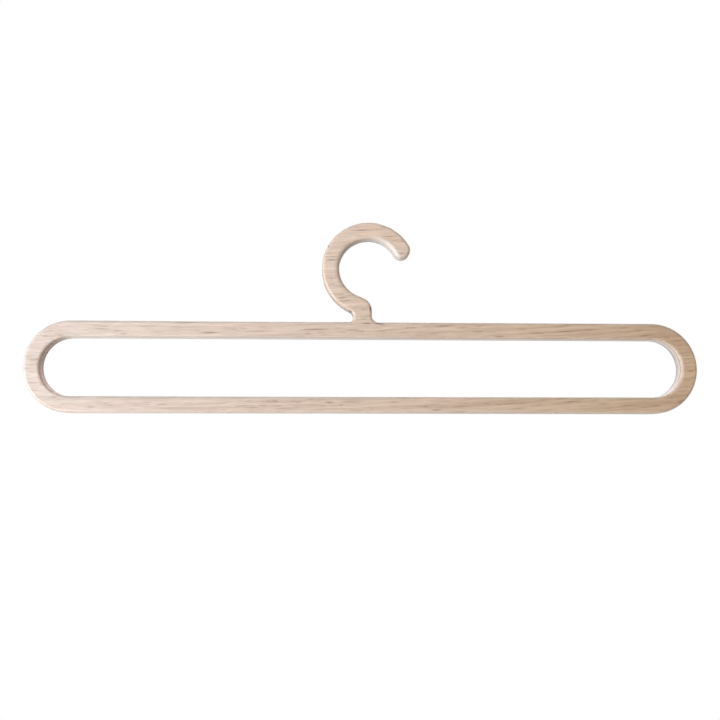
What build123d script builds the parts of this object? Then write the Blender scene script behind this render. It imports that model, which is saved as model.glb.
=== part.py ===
from build123d import *
from math import atan2, cos, degrees, radians, sin, tan
import os

# A scarf hanger cut from one laminated board: a long loop with round ends, and an
# open hook above it that hangs on a wardrobe rail.
# +X runs along the loop, +Z is up, and the front face looks along -Y.
# The origin is the middle of the hook's round throat, halfway through the board.

# Sizes in millimetres, angles in degrees from +X towards +Z

# The board
board_thickness = 12.0
face_veneer_thickness = 0.6
core_ply_count = 7
edge_radius = 2.0

# The loop that the scarves are drawn through
loop_length = 450.0
loop_height = 61.0
rail_width = 11.0

# The hook and where it stands over the loop
throat_radius = 20.0
hook_width = 11.5
tip_angle = 30.0
hook_to_loop_gap = 5.0
rod_right_of_loop_middle = 2.4

# The neck, with the bowed back of the hook on its left and the shoulder on its right
neck_width = 12.6
neck_left_of_rod = 4.2
back_flattening = 1.0
back_start_angle = 205.0
shoulder_start_angle = 246.5
shoulder_radius = 9.3
back_corner_radius = 4.5
left_foot_radius = 3.0
right_foot_radius = 4.2
corner_room_share = 0.98

# Places that follow from the sizes
hook_outer_radius = throat_radius + hook_width
hook_middle_radius = throat_radius + hook_width / 2
back_radius = hook_outer_radius + back_flattening
loop_x = -rod_right_of_loop_middle
loop_top = -hook_outer_radius - hook_to_loop_gap
loop_z = loop_top - loop_height / 2
rail_middle = loop_top - rail_width / 2
opening_length = loop_length - 2 * rail_width
opening_height = loop_height - 2 * rail_width
neck_left = -neck_left_of_rod - neck_width / 2
neck_right = -neck_left_of_rod + neck_width / 2

# Where the straight below the throat, tangent to it, meets the right side of the neck
leave_angle = radians(shoulder_start_angle)
leave_point = (throat_radius * cos(leave_angle), throat_radius * sin(leave_angle))
leave_slope = -cos(leave_angle) / sin(leave_angle)
shoulder_corner = (neck_right, leave_point[1] + leave_slope * (neck_right - leave_point[0]))

# The corner where the bowed back, tangent to the hook's outside, meets the neck's left side
back_angle = radians(back_start_angle)
back_middle_x = (hook_outer_radius - back_radius) * cos(back_angle)
back_middle_z = (hook_outer_radius - back_radius) * sin(back_angle)
back_drop = (back_radius**2 - (neck_left - back_middle_x) ** 2) ** 0.5
back_corner = (neck_left, back_middle_z - back_drop)
back_end_angle = degrees(atan2(-back_drop, neck_left - back_middle_x)) % 360

# The two corners on each side of the neck shrink together where that side is too short
def corner_scale(side_length, corner_radius, corner_turn, foot_radius):
    reach = corner_radius * tan(radians(corner_turn) / 2) + foot_radius
    return min(1, corner_room_share * side_length / reach)


left_scale = corner_scale(
    back_corner[1] - loop_top, back_corner_radius, back_end_angle - 180, left_foot_radius
)
right_scale = corner_scale(
    shoulder_corner[1] - loop_top, shoulder_radius, shoulder_start_angle - 180, right_foot_radius
)

# The middle of the hook's rounded tip
tip_middle = (
    hook_middle_radius * cos(radians(tip_angle)),
    hook_middle_radius * sin(radians(tip_angle)),
)

# The glued board: its outline cut out, then rounded over along both faces
with BuildPart() as board:
    with BuildSketch(Plane.XZ.offset(-board_thickness / 2)) as outline:
        # The hook and neck, run down the back, up the throat and round the tip
        with BuildLine():
            outside = CenterArc(
                (0, 0), hook_outer_radius, tip_angle, back_start_angle - tip_angle
            )
            RadiusArc(outside @ 1, back_corner, -back_radius)
            Polyline(
                back_corner,
                (neck_left, rail_middle),
                (neck_right, rail_middle),
                shoulder_corner,
                leave_point,
            )
            CenterArc(
                (0, 0), throat_radius, shoulder_start_angle, tip_angle - shoulder_start_angle
            )
            CenterArc(tip_middle, hook_width / 2, tip_angle + 180, 180)
        make_face()

        # The loop joins it, and the corners on both sides of the neck are rounded
        with Locations((loop_x, loop_z)):
            SlotOverall(loop_length, loop_height)
        corners = (
            (back_corner, back_corner_radius * left_scale),
            (shoulder_corner, shoulder_radius * right_scale),
            ((neck_left, loop_top), left_foot_radius * left_scale),
            ((neck_right, loop_top), right_foot_radius * right_scale),
        )
        for place, radius in corners:
            fillet(outline.vertices().sort_by_distance(place)[0], radius)
        with Locations((loop_x, loop_z)):
            SlotOverall(opening_length, opening_height, mode=Mode.SUBTRACT)
    extrude(amount=board_thickness)
    fillet(board.faces().filter_by(Axis.Y).edges(), edge_radius)

# The layers from front to back, each with its name and thickness
core_ply_thickness = (board_thickness - 2 * face_veneer_thickness) / core_ply_count
layers = [("front_face_veneer", face_veneer_thickness)]
for number in range(1, core_ply_count + 1):
    layers.append((f"core_ply_{number}", core_ply_thickness))
layers.append(("back_face_veneer", face_veneer_thickness))

os.makedirs("parts", exist_ok=True)
layer_front = -board_thickness / 2
for name, thickness in layers:
    layer_back = layer_front + thickness
    with BuildPart() as layer:
        add(board.part)
        if name != layers[0][0]:
            split(bisect_by=Plane.XZ.offset(-layer_front), keep=Keep.BOTTOM)
        if name != layers[-1][0]:
            split(bisect_by=Plane.XZ.offset(-layer_back), keep=Keep.TOP)
    layer.part.label = name
    export_step(layer.part, f"parts/{name}.step")
    print(name, round(layer_front, 3), round(layer_back, 3), round(layer.part.volume))
    layer_front = layer_back
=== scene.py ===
import bpy
from math import radians
from mathutils import Euler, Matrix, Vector


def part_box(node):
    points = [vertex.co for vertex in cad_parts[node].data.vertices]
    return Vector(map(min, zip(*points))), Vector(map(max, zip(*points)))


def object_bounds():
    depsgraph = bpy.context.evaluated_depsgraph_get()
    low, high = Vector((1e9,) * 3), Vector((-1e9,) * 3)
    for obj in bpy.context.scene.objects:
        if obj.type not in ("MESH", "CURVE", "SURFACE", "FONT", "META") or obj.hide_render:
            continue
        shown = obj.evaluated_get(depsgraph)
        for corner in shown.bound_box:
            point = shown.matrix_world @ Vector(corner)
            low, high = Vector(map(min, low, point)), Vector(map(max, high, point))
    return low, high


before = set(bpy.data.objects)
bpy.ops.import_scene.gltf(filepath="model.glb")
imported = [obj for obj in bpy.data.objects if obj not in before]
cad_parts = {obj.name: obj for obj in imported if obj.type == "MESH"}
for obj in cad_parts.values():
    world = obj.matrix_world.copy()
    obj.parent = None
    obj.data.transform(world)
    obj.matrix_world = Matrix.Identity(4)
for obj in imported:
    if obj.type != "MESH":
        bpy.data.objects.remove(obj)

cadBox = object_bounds()
mm = 0.001

# Camera: low and a little left of the hook, looking slightly up and to the right
camera = {
    "place": (-35.0, -635.7, -122.3),  # mm from the middle of the hook's throat
    "lens": 47.58,
    "sensor": 36.0,
    "lookUp": 5.453,  # degrees above level
    "lookRight": 2.635,
    "nearClip": 0.05,  # m
    "farClip": 30.0,
}
lensData = bpy.data.cameras.new("photoCamera")
lensData.lens = camera["lens"]
lensData.sensor_width = camera["sensor"]
lensData.clip_start = camera["nearClip"]
lensData.clip_end = camera["farClip"]
photoCamera = bpy.data.objects.new("photoCamera", lensData)
photoCamera.location = Vector(camera["place"]) * mm
photoCamera.rotation_euler = (radians(90 + camera["lookUp"]), 0, radians(-camera["lookRight"]))
bpy.context.scene.collection.objects.link(photoCamera)
bpy.context.scene.camera = photoCamera
bpy.context.scene.view_settings.view_transform = "Standard"
print("camera is set")


def hexToLinear(text):
    # An sRGB colour as Blender counts light, with full alpha
    channels = [int(text[i:i + 2], 16) / 255 for i in (1, 3, 5)]
    return [c / 12.92 if c <= 0.04045 else ((c + 0.055) / 1.055) ** 2.4 for c in channels] + [1.0]


def addNode(tree, kind, inputs=None, **settings):
    # Adds one node; an input given as a node is linked from that node's first output in use
    node = tree.nodes.new(kind)
    for name, value in settings.items():
        setattr(node, name, value)
    for socket, value in (inputs or {}).items():
        if isinstance(value, bpy.types.Node):
            value = next(output for output in value.outputs if output.enabled)
        if isinstance(value, bpy.types.NodeSocket):
            tree.links.new(value, node.inputs[socket])
        else:
            node.inputs[socket].default_value = value
    return node


def newMaterial(name):
    material = bpy.data.materials.new(name)
    material.use_nodes = True
    material.node_tree.nodes.clear()
    return material, material.node_tree


# Studio: white all round for the camera and in reflections, a dimmer even light on the wood
studio = {
    "evenLight": 0.25,
    "seenWhite": 1.0,
    "floorBelow": 900.0,  # mm under the hanger, which hangs from a rail out of the picture
    "floorSize": 8000.0,
    "floorColour": "#F2F2F0",
}


def seenShare(tree):
    # 1 where the camera, a reflection or a clear piece looks at the backdrop
    path = addNode(tree, "ShaderNodeLightPath").outputs
    mirrored = addNode(tree, "ShaderNodeMath", {0: path["Is Glossy Ray"], 1: path["Is Transmission Ray"]},
                       operation="MAXIMUM")
    return addNode(tree, "ShaderNodeMath", {0: path["Is Camera Ray"], 1: mirrored}, operation="MAXIMUM")


world = bpy.data.worlds.new("whiteStudio")
bpy.context.scene.world = world
world.use_nodes = True
tree = world.node_tree
tree.nodes.clear()
evenLight = addNode(tree, "ShaderNodeBackground", {"Strength": studio["evenLight"]})
seenWhite = addNode(tree, "ShaderNodeBackground", {"Strength": studio["seenWhite"]})
for light in (evenLight, seenWhite):
    light.inputs["Color"].default_value = (1, 1, 1, 1)
backdrop = addNode(tree, "ShaderNodeMixShader", {0: seenShare(tree), 1: evenLight, 2: seenWhite})
addNode(tree, "ShaderNodeOutputWorld", {"Surface": backdrop})

# Painted studio floor: matt and pale, and seen as the same white as the backdrop
floorMaterial, tree = newMaterial("mattPaintedFloor")
paint = addNode(tree, "ShaderNodeBsdfDiffuse", {"Color": hexToLinear(studio["floorColour"])})
glow = addNode(tree, "ShaderNodeEmission", {"Color": (1, 1, 1, 1), "Strength": studio["seenWhite"]})
floorSurface = addNode(tree, "ShaderNodeMixShader", {0: seenShare(tree), 1: paint, 2: glow})
addNode(tree, "ShaderNodeOutputMaterial", {"Surface": floorSurface})

floorMesh = bpy.data.meshes.new("studioFloor")
reach = studio["floorSize"] * mm / 2
low = cadBox[0].z - studio["floorBelow"] * mm
floorCorners = [(-reach, -reach, low), (reach, -reach, low), (reach, reach, low), (-reach, reach, low)]
floorMesh.from_pydata(floorCorners, [], [(0, 1, 2, 3)])
floorMesh.materials.append(floorMaterial)
studioFloor = bpy.data.objects.new("studioFloor", floorMesh)
bpy.context.scene.collection.objects.link(studioFloor)

# Lamps round the hanger: angles in degrees from the front and from level, sizes in mm, power in
# watts. The key stands low on the left, the next two fill the faces and upper edges, and the last
# two light what is turned to the right and to the back
lamps = {
    "leftSoftbox": {"turn": -66, "lift": -18, "away": 1300, "size": 700, "power": 17.2},
    "frontSoftbox": {"turn": -5, "lift": 30, "away": 1200, "size": 600, "power": 4.2},
    "topSoftbox": {"turn": 0, "lift": 70, "away": 1200, "size": 600, "power": 1.0},
    "rightSoftbox": {"turn": 115, "lift": 15, "away": 1200, "size": 800, "power": 0.6},
    "backSoftbox": {"turn": 180, "lift": 50, "away": 1500, "size": 900, "power": 13.0},
}
lampAim = Vector((0, 0, -50)) * mm  # just under the top rail
for name, lamp in lamps.items():
    lampData = bpy.data.lights.new(name, "AREA")
    lampData.shape = "SQUARE"
    lampData.size = lamp["size"] * mm
    lampData.energy = lamp["power"]
    softbox = bpy.data.objects.new(name, lampData)
    turn = Euler((radians(-lamp["lift"]), 0, radians(lamp["turn"])))
    wayOut = turn.to_matrix() @ Vector((0, -1, 0))
    softbox.location = lampAim + wayOut * lamp["away"] * mm
    softbox.rotation_euler = (-wayOut).to_track_quat("-Z", "Y").to_euler()
    softbox.visible_camera = False
    bpy.context.scene.collection.objects.link(softbox)
print("studio is lit")


# How the grain runs, in mm: it climbs to the right, more steeply at the right end, in slow waves.
# A figure's size is along, through and across the grain; from and to are where its noise is cut off
grain = {
    "climb": 0.045,
    "climbGain": 0.0001,
    "wave": {"size": (130.0, 20.0, 16.0), "detail": 2.0, "roughness": 0.5, "from": 0.25, "to": 0.75},
    "waveRise": 3.0,
    "sheetShift": (613.0, 0.0, 271.0),  # between one sheet's pattern and the next
    "hookStart": -37.0,  # heights on the neck between which the hook's paler face and the painted shade on its ply walls set in
    "hookFull": -20.0,
}


def streaks(tree, point, figure):
    # Noise drawn out along the grain
    scaled = addNode(tree, "ShaderNodeVectorMath", {0: point, 1: [1 / side for side in figure["size"]]},
                     operation="MULTIPLY")
    return addNode(tree, "ShaderNodeTexNoise",
                   {"Vector": scaled, "Scale": 1.0, "Detail": figure["detail"],
                    "Roughness": figure["roughness"]})


def levelMarks(tree, point, marks, width):
    # Darkness of short marks along the grain, each given by x, z and length in mm and its depth
    darkest = None
    for x, z, length, depth in marks:
        level = z - (grain["climb"] + grain["climbGain"] * x) * x
        scale = (2 / length, 0, 2 / width)
        offset = (-x * scale[0], 0, -level * scale[2])
        inMark = addNode(tree, "ShaderNodeVectorMath", {0: point, 1: scale, 2: offset},
                         operation="MULTIPLY_ADD")
        fromMiddle = addNode(tree, "ShaderNodeVectorMath", {0: inMark}, operation="LENGTH")
        dark = addNode(tree, "ShaderNodeMath", {0: fromMiddle, 1: -depth, 2: depth},
                       operation="MULTIPLY_ADD")
        if darkest:
            dark = addNode(tree, "ShaderNodeMath", {0: darkest, 1: dark}, operation="MAXIMUM")
        darkest = dark
    return darkest


# Dark pore streaks that stand out on this board: x, z, length in mm, and depth of colour
veneerMarks = [
    (-177, -42.2, 13, 0.5), (-161.9, -45.5, 6, 0.5), (-204, -46.8, 14, 0.4), (-148.9, -40.5, 10, 0.3),
    (-122, -37.8, 30, 0.4), (-105.8, -44.4, 18, 0.8), (-73.8, -43.2, 26, 0.5), (-69.8, -46.5, 34, 0.4),
    (-36, -41.7, 26, 0.8), (-11.4, -42.0, 11, 0.5), (-40.4, -44.5, 6, 0.5), (-21, -40.8, 9, 0.4),
    (8.9, -42.5, 9, 0.4), (37.9, -39.2, 9, 0.4), (50.7, -39.0, 18, 0.8), (62.5, -40.1, 9, 0.5),
    (75, -38.8, 12, 0.5), (87.7, -46.1, 11, 0.8), (104.1, -40.9, 9, 0.4), (112.9, -43.5, 10, 0.5),
    (132.9, -42.2, 23, 0.8), (149.7, -41.1, 12, 0.5), (173.1, -39.3, 9, 0.4), (187, -44.5, 12, 0.8),
    (199.1, -42.1, 15, 0.5),
    (-182.4, -93.9, 8, 0.5), (-140.1, -88.0, 55, 0.3), (-132.5, -94.4, 23, 0.25), (-84.9, -87.9, 14, 0.4),
    (-56.2, -94.3, 17, 0.4), (-26.3, -90.3, 9, 0.8), (-11.7, -89.7, 22, 0.45), (-18.6, -92.2, 4, 0.5),
    (16.5, -90.2, 8, 0.4), (23.5, -87.6, 9, 0.4), (44.9, -95.3, 9, 0.8), (58.9, -96.8, 20, 0.7),
    (61.2, -92.7, 18, 0.5), (92.2, -91.1, 31, 0.5), (99.2, -94.3, 17, 0.5), (135.4, -89.6, 16, 0.8),
    (151.6, -88.6, 8, 0.5), (157.4, -91.0, 11, 0.5), (174, -92.1, 17, 0.5), (141.6, -97.4, 14, 0.4),
    (-221.6, -60.0, 9, 0.2), (-221.5, -62.6, 9, 0.2), (-221.3, -66.3, 9, 0.35), (-221.2, -70.7, 9, 0.35),
    (-221.0, -78.0, 9, 0.3), (-220.1, -82.3, 8, 0.2), (-218.8, -86.2, 8, 0.2),
    (210.2, -51.6, 6, 0.5), (215.8, -58.0, 8, 0.5), (216, -60.2, 8, 0.4), (217.8, -68.6, 7, 0.8),
    (216.2, -74.9, 7, 0.4), (214.7, -79.1, 7, 0.4), (211.9, -82.2, 10, 0.5),
    (-5.4, 25.8, 19, 0.8), (14.2, 21.7, 13, 0.6), (17.2, 18.9, 5, 0.4), (15.5, 17.6, 3, 0.4),
    (-25.6, 5.3, 10, 0.8), (-24.5, 7.7, 7, 0.4), (-24.9, -7.3, 7, 0.4), (-24.5, -11.0, 6, 0.4),
    (-18.5, -18.0, 8, 0.5), (-17.8, -20.3, 7, 0.8), (-3.4, -28.1, 6, 0.4), (-3.7, -34.5, 6, 0.4),
]

# Spots that the cutter scorched beside the neck, and a dark fleck on the hook's outer left edge
scorching = {
    "marks": [  # x, z, half length, half width in mm, tilt in degrees
        (-12.6, -29.4, 1.7, 0.8, -30.0),
        (-27.0, 14.4, 0.7, 0.6, 0.0),
        (0.9, -27.5, 0.6, 2.6, 0.0),
        (6.8, -37.8, 4.6, 0.5, -5.0),
        (-1.5, -37.5, 5.0, 0.35, 0.0),
    ],
    "reach": 9.0,  # mm behind the front face, where they fade out
    "none": 1.0,  # share of that size at which a mark starts
    "full": 0.3,
}

# Painted shade round the left of the tight throat, on the rounded edge turned away from the key lamp: mm
# from the throat's middle
throatShade = {
    "none": 24.0,
    "full": 22.0,
    "right": -10.5,  # x at which the painted shade starts and is full
    "left": -20.5,
    "depth": 0.27,
}

# Painted highlight: a pale patch on the throat's right inner edge, where the low light from the left
# catches it: places and reach in mm
throatHighlight = {
    "middle": (17.0, 0.0, 11.0),
    "full": 8.0,  # from that middle
    "none": 24.0,
    "edgeFull": 22.0,  # from the middle of the throat, so the painted highlight ends a little way onto the face
    "edgeNone": 23.0,
}


def scorchShade(tree, inMm):
    darkest = None
    for x, z, halfLength, halfWidth, tilt in scorching["marks"]:
        inMark = addNode(tree, "ShaderNodeMapping",
                         {"Vector": inMm, "Location": (x, cadBox[0].y / mm, z),
                          "Rotation": (0, radians(-tilt), 0),
                          "Scale": (halfLength, scorching["reach"], halfWidth)},
                         vector_type="TEXTURE")
        fromMiddle = addNode(tree, "ShaderNodeVectorMath", {0: inMark}, operation="LENGTH")
        dark = addNode(tree, "ShaderNodeMapRange",
                       {"Value": fromMiddle, "From Min": scorching["none"], "From Max": scorching["full"]})
        if darkest:
            dark = addNode(tree, "ShaderNodeMath", {0: darkest, 1: dark}, operation="MAXIMUM")
        darkest = dark
    return darkest


# Oak, sliced, glued up, fine sanded and oiled: pale and soft to the eye, with level streaks, short
# brown pores and a low satin gleam that whitens the rounded edges towards the light
oak = {
    "tones": ("#E3D4CA", "#E1CFC7", "#CCB8AC"),  # straw, rose, and the tan of the summer bands
    "ends": ("#FFFFFF", "#E8D5B7"),  # painted light and shade: what the tones are multiplied by at the left and right ends, darker and warmer away from the key lamp on the left
    "paintedWallEnds": ("#FFFFFF", "#E8D5B7"),  # painted shade, the same, on edges that are turned to the left or right
    "wallTurn": 0.35,  # how far an edge is turned for that to hold in full; 1 is a quarter turn
    "pore": "#93725F",
    "wearAndHighlight": "#F8F2EE",  # rounded edges, painted pale: partly wear from sanding and hands, partly a painted highlight
    # dark colour of the scorched spots, also used for the painted shade round the throat
    "scorchAndShade": "#4B3C33",
    "glue": "#705D50",
    "broad": {"size": (60.0, 20.0, 7.0), "detail": 2.0, "roughness": 0.5, "from": 0.4, "to": 0.6},
    "bands": {"size": (150.0, 6.0, 2.6), "detail": 3.0, "roughness": 0.6, "from": 0.42, "to": 0.68},
    # Real fibres are far finer; these are as fine as the picture shows
    "fibres": {"size": (13.0, 0.7, 0.8), "detail": 2.0, "roughness": 0.6, "from": 0.3, "to": 0.7},
    # Drawn about twice as wide as real pores, to show at all
    "pores": {"size": (8.0, 0.8, 0.75), "detail": 1.0, "roughness": 0.5, "from": 0.6, "to": 0.7},
    "poreBand": {"from": 0.45, "to": 0.6, "outside": 0.1},  # how pores crowd into the growth bands
    "bandDepth": (0.5, 1.0),  # at the left and right ends, where the figure is stronger
    "fibreDepth": 0.25,
    "hookShade": 1.055,  # the colour is made a little paler in the hook than in the loop
    "poreDepth": 0.6,
    "markDepth": 1.25,
    "markWidth": 1.35,  # mm
    "wearAndHighlightDepth": 0.25,
    "wearAndHighlightFrom": 0.97,  # how squarely an edge faces front or back where the pale wear and painted highlight start and are full
    "wearAndHighlightTo": 0.8,
    "throatHighlightDepth": 0.62,
    "endGrainDepth": 0.0,
    "glueWidth": 0.5,  # mm on each side of a joint, drawn wider than real glue to show at all
    "glueDepth": (0.0, 0.2),  # at the sheet's front and at its back
    "roughness": (0.58, 0.48),
    "ior": 1.5,
    "specular": 0.5,
    "coat": 0.3,  # an oil finish that fills the grain without covering it
    "coatRoughness": 0.33,
    "sheen": 0.35,  # the sanded fibres stand up in a fine nap that whitens edges seen on the slant
    "sheenRoughness": 0.45,
    "poreBump": 0.015,  # mm
    "poreRelief": 1.5,  # the depth of a pore against the height of a fibre
}

# Core plies of a plainer hardwood, seen on their cut and sanded edges without oil: dull, in thin stripes,
# as each sheet has a tone of its own and is glued across the last, and darker towards the back, which is
# painted shade
corePly = dict(
    oak,
    # Painted shade: the plies' faces and rail edges darker towards the right end
    ends=("#FFFFFF", "#E8DCCF"),
    paintedWallEnds=("#ECD0BC", "#FFFFFF"),  # painted shade and light: the left end wall, turned away from the key lamp, browner, and the right one, which faces it, paler
    bands=dict(oak["bands"], size=(120.0, 4.0, 3.4)),
    fibres=dict(oak["fibres"], size=(6.0, 0.5, 0.6)),
    bandDepth=(0.3, 0.3),
    fibreDepth=0.3,
    poreDepth=0.35,
    wearAndHighlightDepth=0.0,
    throatHighlightDepth=0.55,
    endGrainDepth=0.05,
    roughness=(0.55, 0.42),
    coat=0.0,
)

# Each ply's tone, partly its own and partly painted shade that darkens the plies towards the back, the
# depth of the glue lines at its front and back, and the painted shade on its walls in the hook
corePlies = {
    "core_ply_1": {"toneAndBackShade": "#DACBC0", "glueDepth": (0.2, 0.9), "hookShade": 1.0},
    "core_ply_2": {"toneAndBackShade": "#BFAD9F", "glueDepth": (0.9, 0.33), "hookShade": 0.8},
    "core_ply_3": {"toneAndBackShade": "#E6DBD3", "glueDepth": (0.33, 0.33), "hookShade": 0.8},
    "core_ply_4": {"toneAndBackShade": "#D8CBC2", "glueDepth": (0.33, 0.33), "hookShade": 0.8},
    "core_ply_5": {"toneAndBackShade": "#C9BCB3", "glueDepth": (0.33, 0.33), "hookShade": 0.8},
    "core_ply_6": {"toneAndBackShade": "#B1A39A", "glueDepth": (0.33, 0.33), "hookShade": 0.8},
    "core_ply_7": {"toneAndBackShade": "#9E9289", "glueDepth": (0.33, 0.2), "hookShade": 1.0},
}


def makeWood(name, node, wood, upright, sheet, marks=None):
    material, tree = newMaterial(name)
    colours = {part: hexToLinear(wood[part]) for part in ("pore", "wearAndHighlight", "scorchAndShade", "glue")}
    tones = [hexToLinear(toneAndBackShade) for toneAndBackShade in wood["tones"]]
    place = addNode(tree, "ShaderNodeTexCoord").outputs["Object"]
    inMm = addNode(tree, "ShaderNodeVectorMath", {0: place, "Scale": 1 / mm}, operation="SCALE")
    x, y, z = addNode(tree, "ShaderNodeSeparateXYZ", {0: inMm}).outputs

    # The grain's own axes: along it, through the sheet and across it
    slope = addNode(tree, "ShaderNodeMath", {0: x, 1: grain["climbGain"], 2: grain["climb"]},
                    operation="MULTIPLY_ADD")
    rise = addNode(tree, "ShaderNodeMath", {0: x, 1: slope}, operation="MULTIPLY")
    level = addNode(tree, "ShaderNodeMath", {0: z, 1: rise}, operation="SUBTRACT")
    along, across = (z, x) if upright else (x, level)
    onGrain = addNode(tree, "ShaderNodeCombineXYZ", {0: along, 1: y, 2: across})
    shift = [side * sheet for side in grain["sheetShift"]]
    onSheet = addNode(tree, "ShaderNodeVectorMath", {0: onGrain, 1: shift}, operation="ADD")
    wave = addNode(tree, "ShaderNodeMapRange",
                   {"Value": streaks(tree, onSheet, grain["wave"]),
                    "From Min": grain["wave"]["from"], "From Max": grain["wave"]["to"],
                    "To Min": -grain["waveRise"] / 2, "To Max": grain["waveRise"] / 2})
    waveUp = addNode(tree, "ShaderNodeCombineXYZ", {2: wave})
    point = addNode(tree, "ShaderNodeVectorMath", {0: onSheet, 1: waveUp}, operation="ADD")

    # Broad warm and cool areas, then the bands of summer growth
    broad = addNode(tree, "ShaderNodeMapRange",
                    {"Value": streaks(tree, point, wood["broad"]),
                     "From Min": wood["broad"]["from"], "From Max": wood["broad"]["to"]})
    colour = addNode(tree, "ShaderNodeMix", {"Factor": broad, "A": tones[0], "B": tones[1]},
                     data_type="RGBA")
    bands = streaks(tree, point, wood["bands"])
    toRight = addNode(tree, "ShaderNodeMapRange",
                      {"Value": x, "From Min": cadBox[0].x / mm, "From Max": cadBox[1].x / mm})
    bandDepth = addNode(tree, "ShaderNodeMapRange",
                        {"Value": toRight, "To Min": wood["bandDepth"][0], "To Max": wood["bandDepth"][1]})
    lateWood = addNode(tree, "ShaderNodeMapRange",
                       {"Value": bands, "From Min": wood["bands"]["from"], "From Max": wood["bands"]["to"],
                        "To Max": bandDepth})
    colour = addNode(tree, "ShaderNodeMix", {"Factor": lateWood, "A": colour, "B": tones[2]},
                     data_type="RGBA")

    # Painted light and shade: darker and warmer towards the right end, away from the key lamp on the left,
    # and on edges turned to the left or right by the way they face that lamp
    normal = addNode(tree, "ShaderNodeNewGeometry").outputs["Normal"]
    facings = addNode(tree, "ShaderNodeSeparateXYZ", {0: normal}).outputs
    sideways = addNode(tree, "ShaderNodeMath", {0: facings[0]}, operation="ABSOLUTE")
    onWall = addNode(tree, "ShaderNodeMapRange", {"Value": sideways, "From Max": wood["wallTurn"]})
    paintedEndCasts = []
    for left, right in (wood["ends"], wood["paintedWallEnds"]):
        paintedEndCasts.append(addNode(tree, "ShaderNodeMix",
                             {"Factor": toRight, "A": hexToLinear(left), "B": hexToLinear(right)},
                             data_type="RGBA"))
    paintedEndCast = addNode(tree, "ShaderNodeMix", {"Factor": onWall, "A": paintedEndCasts[0], "B": paintedEndCasts[1]},
                   data_type="RGBA")
    colour = addNode(tree, "ShaderNodeMix", {"Factor": 1.0, "A": colour, "B": paintedEndCast}, data_type="RGBA",
                     blend_type="MULTIPLY")

    # Fibres, a little lighter and darker, then the hook's tone: paler on the face, and painted shade on the
    # plies' walls
    fibres = addNode(tree, "ShaderNodeMapRange",
                     {"Value": streaks(tree, point, wood["fibres"]),
                      "From Min": wood["fibres"]["from"], "From Max": wood["fibres"]["to"]})
    fibreShade = addNode(tree, "ShaderNodeMath",
                         {0: fibres, 1: wood["fibreDepth"], 2: 1 - wood["fibreDepth"] / 2},
                         operation="MULTIPLY_ADD")
    hookShade = addNode(tree, "ShaderNodeMapRange",
                        {"Value": z, "From Min": grain["hookStart"], "From Max": grain["hookFull"],
                         "To Min": 1.0, "To Max": wood["hookShade"]})
    shade = addNode(tree, "ShaderNodeMath", {0: fibreShade, 1: hookShade}, operation="MULTIPLY")
    colour = addNode(tree, "ShaderNodeVectorMath", {0: colour, "Scale": shade}, operation="SCALE")

    # Pores crowd into the growth bands
    poreRows = addNode(tree, "ShaderNodeMapRange",
                       {"Value": streaks(tree, point, wood["pores"]),
                        "From Min": wood["pores"]["from"], "From Max": wood["pores"]["to"]})
    inBand = addNode(tree, "ShaderNodeMapRange",
                     {"Value": bands, "From Min": wood["poreBand"]["from"],
                      "From Max": wood["poreBand"]["to"], "To Min": wood["poreBand"]["outside"]})
    pores = addNode(tree, "ShaderNodeMath", {0: poreRows, 1: inBand}, operation="MULTIPLY")
    dark = addNode(tree, "ShaderNodeMath", {0: pores, 1: wood["poreDepth"]}, operation="MULTIPLY")
    if marks:
        flecks = levelMarks(tree, onGrain, marks, wood["markWidth"])
        flecks = addNode(tree, "ShaderNodeMath", {0: flecks, 1: wood["markDepth"]}, operation="MULTIPLY",
                         use_clamp=True)
        dark = addNode(tree, "ShaderNodeMath", {0: dark, 1: flecks}, operation="MAXIMUM")
    colour = addNode(tree, "ShaderNodeMix", {"Factor": dark, "A": colour, "B": colours["pore"]},
                     data_type="RGBA")

    # Rounded edges are painted pale in patches that follow the fibres, whose middle value is one half:
    # partly wear, partly a painted highlight
    flat = addNode(tree, "ShaderNodeMath", {0: facings[1]}, operation="ABSOLUTE")
    rounded = addNode(tree, "ShaderNodeMapRange",
                      {"Value": flat, "From Min": wood["wearAndHighlightFrom"], "From Max": wood["wearAndHighlightTo"]})
    patchy = addNode(tree, "ShaderNodeMath", {0: rounded, 1: fibres}, operation="MULTIPLY")
    wearAndHighlight = addNode(tree, "ShaderNodeMath", {0: patchy, 1: 2 * wood["wearAndHighlightDepth"]}, operation="MULTIPLY",
                     use_clamp=True)

    # Painted highlight on the throat's right inner edge
    fromThroatHighlight = addNode(tree, "ShaderNodeVectorMath", {0: inMm, 1: throatHighlight["middle"]}, operation="DISTANCE")
    throatHighlightShare = addNode(tree, "ShaderNodeMapRange",
                   {"Value": fromThroatHighlight, "From Min": throatHighlight["none"], "From Max": throatHighlight["full"],
                    "To Max": wood["throatHighlightDepth"]})
    besideThroat = addNode(tree, "ShaderNodeCombineXYZ", {0: x, 2: z})
    fromThroat = addNode(tree, "ShaderNodeVectorMath", {0: besideThroat}, operation="LENGTH")
    onEdge = addNode(tree, "ShaderNodeMapRange",
                     {"Value": fromThroat, "From Min": throatHighlight["edgeNone"],
                      "From Max": throatHighlight["edgeFull"]})
    throatHighlightShare = addNode(tree, "ShaderNodeMath", {0: onEdge, 1: throatHighlightShare}, operation="MULTIPLY")
    wearAndHighlight = addNode(tree, "ShaderNodeMath", {0: wearAndHighlight, 1: throatHighlightShare}, operation="MAXIMUM")
    colour = addNode(tree, "ShaderNodeMix", {"Factor": wearAndHighlight, "A": colour, "B": colours["wearAndHighlight"]},
                     data_type="RGBA")

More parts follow.
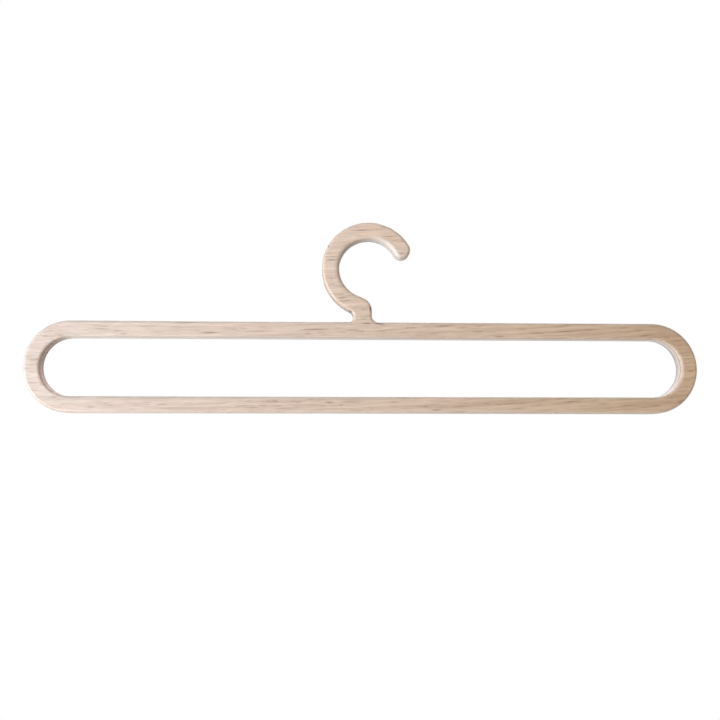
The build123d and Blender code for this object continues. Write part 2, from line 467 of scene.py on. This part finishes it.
    # Painted shade round the left of the throat
    nearThroat = addNode(tree, "ShaderNodeMapRange",
                         {"Value": fromThroat, "From Min": throatShade["none"],
                          "From Max": throatShade["full"], "To Max": throatShade["depth"]})
    onLeft = addNode(tree, "ShaderNodeMapRange",
                     {"Value": x, "From Min": throatShade["right"], "From Max": throatShade["left"]})
    throatShadeShare = addNode(tree, "ShaderNodeMath", {0: nearThroat, 1: onLeft}, operation="MULTIPLY")
    colour = addNode(tree, "ShaderNodeMix", {"Factor": throatShadeShare, "A": colour, "B": colours["scorchAndShade"]},
                     data_type="RGBA")

    # End grain drinks more light than the sides of the fibres do
    facing = facings[2 if upright else 0]
    cutEnds = addNode(tree, "ShaderNodeMath", {0: facing, 1: facing}, operation="MULTIPLY")
    endShade = addNode(tree, "ShaderNodeMath", {0: cutEnds, 1: -wood["endGrainDepth"], 2: 1.0},
                       operation="MULTIPLY_ADD")
    colour = addNode(tree, "ShaderNodeVectorMath", {0: colour, "Scale": endShade}, operation="SCALE")

    # A thin line of glue where the sheet meets the next, then the scorched spots
    glue = None
    for corner, depth in zip(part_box(node), wood["glueDepth"]):
        fromGlue = addNode(tree, "ShaderNodeMath", {0: y, 1: corner.y / mm}, operation="SUBTRACT")
        fromGlue = addNode(tree, "ShaderNodeMath", {0: fromGlue}, operation="ABSOLUTE")
        line = addNode(tree, "ShaderNodeMapRange",
                       {"Value": fromGlue, "From Min": wood["glueWidth"], "From Max": 0.0, "To Max": depth})
        if glue:
            line = addNode(tree, "ShaderNodeMath", {0: glue, 1: line}, operation="MAXIMUM")
        glue = line
    for factor, part in ((glue, "glue"), (scorchShade(tree, inMm), "scorchAndShade")):
        colour = addNode(tree, "ShaderNodeMix", {"Factor": factor, "A": colour, "B": colours[part]},
                         data_type="RGBA")

    # Relief of the fibres and pores
    height = addNode(tree, "ShaderNodeMath", {0: pores, 1: -wood["poreRelief"], 2: fibres},
                     operation="MULTIPLY_ADD")
    bump = addNode(tree, "ShaderNodeBump",
                   {"Height": height, "Distance": wood["poreBump"] * mm, "Strength": 1.0})
    rough = addNode(tree, "ShaderNodeMapRange",
                    {"Value": fibres, "To Min": wood["roughness"][0], "To Max": wood["roughness"][1]})
    surface = addNode(tree, "ShaderNodeBsdfPrincipled",
                      {"Base Color": colour, "Roughness": rough, "IOR": wood["ior"],
                       "Specular IOR Level": wood["specular"], "Coat Weight": wood["coat"],
                       "Coat Roughness": wood["coatRoughness"], "Sheen Weight": wood["sheen"],
                       "Sheen Roughness": wood["sheenRoughness"], "Normal": bump})
    addNode(tree, "ShaderNodeOutputMaterial", {"Surface": surface})
    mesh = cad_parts[node].data
    mesh.materials.clear()
    mesh.materials.append(material)


makeWood("sandedOakVeneerFront", "front_face_veneer", oak, False, 0, veneerMarks)
makeWood("sandedOakVeneerBack", "back_face_veneer", dict(oak, glueDepth=(0.2, 0.0)), False, 1)
for number, (node, ply) in enumerate(corePlies.items(), 1):
    wood = dict(corePly, tones=[ply["toneAndBackShade"]] * 3, glueDepth=ply["glueDepth"], hookShade=ply["hookShade"])
    upright = number % 2 == 1
    makeWood(f"sandedCorePly{number}", node, wood, upright, number + 1)
print("wood is finished")
